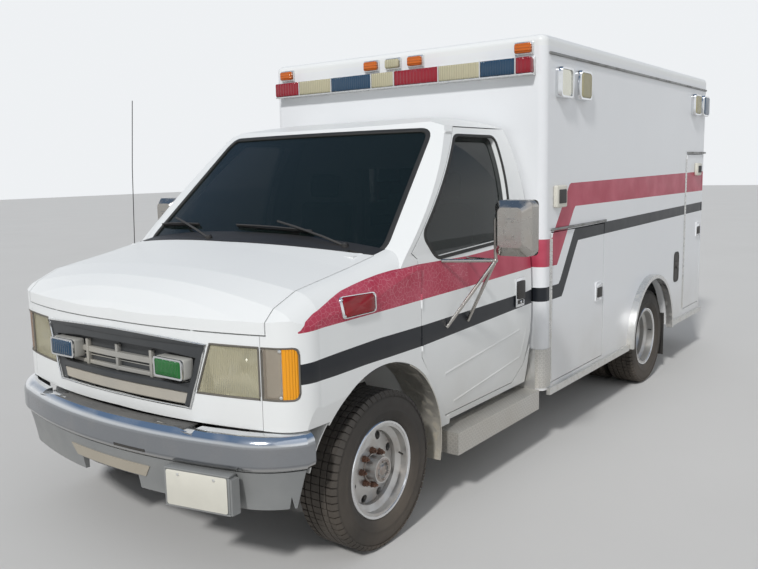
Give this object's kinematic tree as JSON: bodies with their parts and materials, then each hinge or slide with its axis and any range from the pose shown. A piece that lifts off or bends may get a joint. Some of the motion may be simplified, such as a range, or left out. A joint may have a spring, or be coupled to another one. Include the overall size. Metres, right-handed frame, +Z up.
{
  "type": "ambulance",
  "caption": "Ambulance with a van cab and a square box body: rolling and steering wheels, opening cab, rear, side and compartment doors, hood and light bar.",
  "frame": {"origin": "on the floor, at the middle of the vehicle's length and width", "axes": "-Y to the front, +X to the driver's side (the vehicle's left), +Z up"},
  "size_m": [2.8, 6.1, 2.51],
  "materials": {
    "frame_black": "satin, dusty",
    "cast_grey": "rough",
    "exhaust_steel": "dull",
    "tank_black": "matte",
    "radiator_black": "matte black",
    "cab_white": "glossy",
    "module_white": "glossy",
    "door_white": "glossy",
    "grille_grey": "satin",
    "lamp_clear": "clear, a little hazed",
    "cowl_black": "matte",
    "bumper_chrome": "polished",
    "valance_grey": "satin",
    "window_glass": "dark tinted",
    "interior_grey": "textured",
    "seat_cloth": "woven",
    "light_bar_lens": "clear and coloured lenses",
    "floor_grey": "satin",
    "box_aluminium": "mill finish",
    "cabinet_white": "satin laminate",
    "module_lens": "coloured lenses",
    "trim_bright": "polished",
    "tread_plate": "raised tread pattern",
    "flap_rubber": "matte",
    "rim_silver": "silver, brake dust",
    "tyre_black": "worn",
    "mirror_chrome": "polished"
  },
  "bodies": {
    "body": {"cab_shell": "cab_white", "cabinets": "cabinet_white", "chassis_frame": "frame_black", "compartments": "box_aluminium", "cowl": "cowl_black", "cross_members": "frame_black", "dashboard": "interior_grey", "engine_block": "cast_grey", "exhaust": "exhaust_steel", "fenders": "cab_white", "front_axle": "cast_grey", "front_bumper": "bumper_chrome", "front_lamps": "lamp_clear", "front_valance": "valance_grey", "fuel_tank": "tank_black", "grille": "grille_grey", "light_bar": "light_bar_lens", "module_ends": "module_white", "module_floor": "floor_grey", "module_lamps": "module_lens", "module_roof": "module_white", "module_sides": "module_white", "module_trim": "trim_bright", "mud_flaps": "flap_rubber", "nose_panel": "cab_white", "radiator": "radiator_black", "rear_axle": "cast_grey", "rear_step": "tread_plate", "running_boards": "tread_plate", "seats": "seat_cloth", "splash_guards": "trim_bright", "wheel_wells": "floor_grey", "windscreen": "window_glass"},
    "hood": {"hood": "cab_white"},
    "knuckle_left": {"knuckle_left": "cast_grey"},
    "wheel_front_left": {"front_rim_left": "rim_silver", "front_tyre_left": "tyre_black"},
    "wheels_rear_left": {"rear_rims_left": "rim_silver", "rear_tyres_left": "tyre_black"},
    "cab_door_left": {"cab_door_left": "cab_white", "cab_door_glass_left": "window_glass", "mirror_left": "mirror_chrome"},
    "rear_door_left": {"rear_door_left": "door_white", "rear_door_glass_left": "window_glass"},
    "knuckle_right": {"knuckle_right": "cast_grey"},
    "wheel_front_right": {"front_rim_right": "rim_silver", "front_tyre_right": "tyre_black"},
    "wheels_rear_right": {"rear_rims_right": "rim_silver", "rear_tyres_right": "tyre_black"},
    "cab_door_right": {"cab_door_right": "cab_white", "cab_door_glass_right": "window_glass", "mirror_right": "mirror_chrome"},
    "rear_door_right": {"rear_door_right": "door_white", "rear_door_glass_right": "window_glass"},
    "side_door": {"door_side": "door_white", "door_side_glass": "window_glass"},
    "compartment_door_left_front": {"door_left_front": "door_white"},
    "compartment_door_left_rear": {"door_left_rear": "door_white"},
    "compartment_door_right_rear": {"door_right_rear": "door_white"}
  },
  "joints": [
    {"name": "steer_left", "type": "hinge", "parent": "body", "child": "knuckle_left", "pos_m": [0.79, -2.22, 0.372], "axis": [0, 0, 1], "range_deg": [-32, 32]},
    {"name": "roll_front_left", "type": "hinge", "parent": "knuckle_left", "child": "wheel_front_left", "pos_m": [0.8815, -2.22, 0.372], "axis": [1, 0, 0], "continuous": true},
    {"name": "roll_rear_left", "type": "hinge", "parent": "body", "child": "wheels_rear_left", "pos_m": [0.82, 1.285, 0.372], "axis": [1, 0, 0], "continuous": true},
    {"name": "cab_door_left_hinge", "type": "hinge", "parent": "body", "child": "cab_door_left", "pos_m": [1.007, -1.92, 0.9], "axis": [0, 0, -1], "range_deg": [0, 65]},
    {"name": "rear_door_left_hinge", "type": "hinge", "parent": "body", "child": "rear_door_left", "pos_m": [0.6, 2.8, 1.4], "axis": [0, 0, -1], "range_deg": [0, 110]},
    {"name": "steer_right", "type": "hinge", "parent": "body", "child": "knuckle_right", "pos_m": [-0.79, -2.22, 0.372], "axis": [0, 0, 1], "range_deg": [-32, 32]},
    {"name": "roll_front_right", "type": "hinge", "parent": "knuckle_right", "child": "wheel_front_right", "pos_m": [-0.8815, -2.22, 0.372], "axis": [1, 0, 0], "continuous": true},
    {"name": "roll_rear_right", "type": "hinge", "parent": "body", "child": "wheels_rear_right", "pos_m": [-0.82, 1.285, 0.372], "axis": [1, 0, 0], "continuous": true},
    {"name": "cab_door_right_hinge", "type": "hinge", "parent": "body", "child": "cab_door_right", "pos_m": [-1.007, -1.92, 0.9], "axis": [0, 0, 1], "range_deg": [0, 65]},
    {"name": "rear_door_right_hinge", "type": "hinge", "parent": "body", "child": "rear_door_right", "pos_m": [-0.6, 2.8, 1.4], "axis": [0, 0, 1], "range_deg": [0, 110]},
    {"name": "hood_hinge", "type": "hinge", "parent": "body", "child": "hood", "pos_m": [0, -2.135, 1.362], "axis": [-1, 0, 0], "range_deg": [0, 50]},
    {"name": "side_door_hinge", "type": "hinge", "parent": "body", "child": "side_door", "pos_m": [-1.067, -0.129, 1.3], "axis": [0, 0, 1], "range_deg": [0, 95]},
    {"name": "compartment_door_left_front_hinge", "type": "hinge", "parent": "body", "child": "compartment_door_left_front", "pos_m": [1.067, -0.58, 0.9], "axis": [0, 0, -1], "range_deg": [0, 95]},
    {"name": "compartment_door_left_rear_hinge", "type": "hinge", "parent": "body", "child": "compartment_door_left_rear", "pos_m": [1.067, 2.216, 1.1], "axis": [0, 0, -1], "range_deg": [0, 95]},
    {"name": "compartment_door_right_rear_hinge", "type": "hinge", "parent": "body", "child": "compartment_door_right_rear", "pos_m": [-1.067, 2.216, 1.1], "axis": [0, 0, 1], "range_deg": [0, 95]}
  ],
  "couplings": [
    {"joint": "steer_right", "follows": "steer_left", "ratio": 1}
  ]
}
